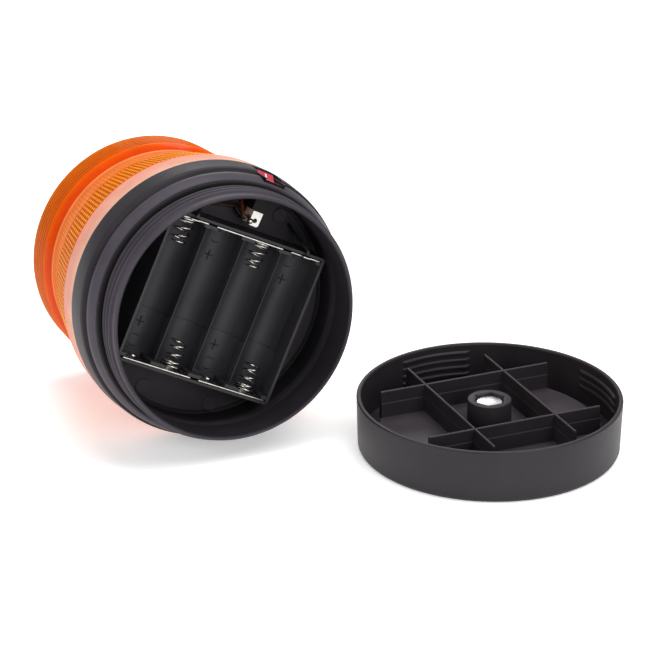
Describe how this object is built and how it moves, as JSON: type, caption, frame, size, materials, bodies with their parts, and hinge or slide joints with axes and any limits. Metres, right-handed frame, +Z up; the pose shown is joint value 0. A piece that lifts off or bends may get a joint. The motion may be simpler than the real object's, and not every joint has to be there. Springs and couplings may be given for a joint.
{
  "type": "battery-powered warning beacon",
  "caption": "Amber warning beacon opened for its batteries: tipped lens and housing with battery holder and rocker switch, beside its screw-on ribbed base cover with magnet.",
  "frame": {"origin": "centre of the base cover's underside, on the floor", "axes": "+Z up out of the open base cover; +X from the beacon towards the base cover; the beacon leans on its lens rim and housing rim, its mouth heading about 67 degrees clockwise of +X and 5 degrees up"},
  "size_m": [0.2261, 0.151, 0.1059],
  "materials": {
    "housing_black": "satin black ABS, injection moulded",
    "seal_rubber": "matt black rubber",
    "lens_amber": "clear amber polycarbonate with moulded prisms",
    "holder_black": "satin black ABS, injection moulded",
    "contact_nickel": "nickel-plated spring steel",
    "switch_black": "black nylon switch body",
    "rocker_red": null,
    "lead_red": "red-brown PVC insulation",
    "lead_brown": "brown PVC insulation",
    "lead_black": "black PVC insulation",
    "board_green": "green solder resist over glass-fibre board",
    "screw_steel": "zinc-plated steel",
    "led_amber": "amber epoxy",
    "chip_black": "moulded epoxy package",
    "capacitor_sleeve": "blue sleeve over aluminium can",
    "cover_grey": "warm dark-grey ABS, fine texture",
    "bolt_zinc": "bright zinc-plated steel",
    "cup_steel": "nickel-plated steel cup",
    "ferrite": "dark grey ferrite"
  },
  "bodies": {
    "beacon": {"housing": "housing_black", "neck_seal_ring": "seal_rubber", "lens": "lens_amber", "lens_gasket": "seal_rubber", "battery_holder": "holder_black", "contact_terminal_1": "contact_nickel", "contact_strip_2_3": "contact_nickel", "contact_terminal_4": "contact_nickel", "contact_strip_1_2": "contact_nickel", "contact_strip_3_4": "contact_nickel", "switch_body": "switch_black", "switch_terminal_front": "contact_nickel", "switch_terminal_rear": "contact_nickel", "switch_lead_red": "lead_red", "switch_lead_brown": "lead_brown", "battery_lead_black": "lead_black", "led_board": "board_green", "board_screw_1": "screw_steel", "board_screw_2": "screw_steel", "board_screw_3": "screw_steel", "led_1": "led_amber", "led_2": "led_amber", "led_3": "led_amber", "led_4": "led_amber", "led_5": "led_amber", "led_6": "led_amber", "flasher_chip": "chip_black", "timing_capacitor": "capacitor_sleeve"},
    "rocker": {"switch_rocker": "rocker_red"},
    "spring_1": {"contact_spring_1": "contact_nickel"},
    "spring_2": {"contact_spring_2": "contact_nickel"},
    "spring_3": {"contact_spring_3": "contact_nickel"},
    "spring_4": {"contact_spring_4": "contact_nickel"},
    "magnet": {"magnet_cup": "cup_steel", "magnet_ring": "ferrite"},
    "cover": {"base_cover": "cover_grey", "magnet_bolt": "bolt_zinc"}
  },
  "joints": [
    {"name": "rocker_tilt", "type": "hinge", "parent": "beacon", "child": "rocker", "pos_m": [-0.08329, 0.02347, 0.09685], "axis": [-0.8303, -0.3032, 0.4676], "range_deg": [0, 16]},
    {"name": "spring_1_press", "type": "slide", "parent": "beacon", "child": "spring_1", "axis": [0.3727, 0.2445, 0.8951], "range_m": [0, 0.006], "stiffness_N_per_m": 500, "deforming": ["contact_spring_1"]},
    {"name": "spring_2_press", "type": "slide", "parent": "beacon", "child": "spring_2", "axis": [-0.3727, -0.2445, -0.8951], "range_m": [0, 0.006], "stiffness_N_per_m": 500, "deforming": ["contact_spring_2"]},
    {"name": "spring_3_press", "type": "slide", "parent": "beacon", "child": "spring_3", "axis": [0.3727, 0.2445, 0.8951], "range_m": [0, 0.006], "stiffness_N_per_m": 500, "deforming": ["contact_spring_3"]},
    {"name": "spring_4_press", "type": "slide", "parent": "beacon", "child": "spring_4", "axis": [-0.3727, -0.2445, -0.8951], "range_m": [0, 0.006], "stiffness_N_per_m": 500, "deforming": ["contact_spring_4"]},
    {"name": "cover_travel", "type": "slide", "parent": "beacon", "child": "magnet", "axis": [0, 0, 1], "range_m": [0, 0.0075]},
    {"name": "cover_turn", "type": "hinge", "parent": "magnet", "child": "cover", "pos_m": [0, 0, 0], "axis": [0, 0, 1], "range_deg": [0, 900]}
  ],
  "couplings": [
    {"joint": "cover_travel", "follows": "cover_turn", "m_per_rad": 0.00047746}
  ]
}
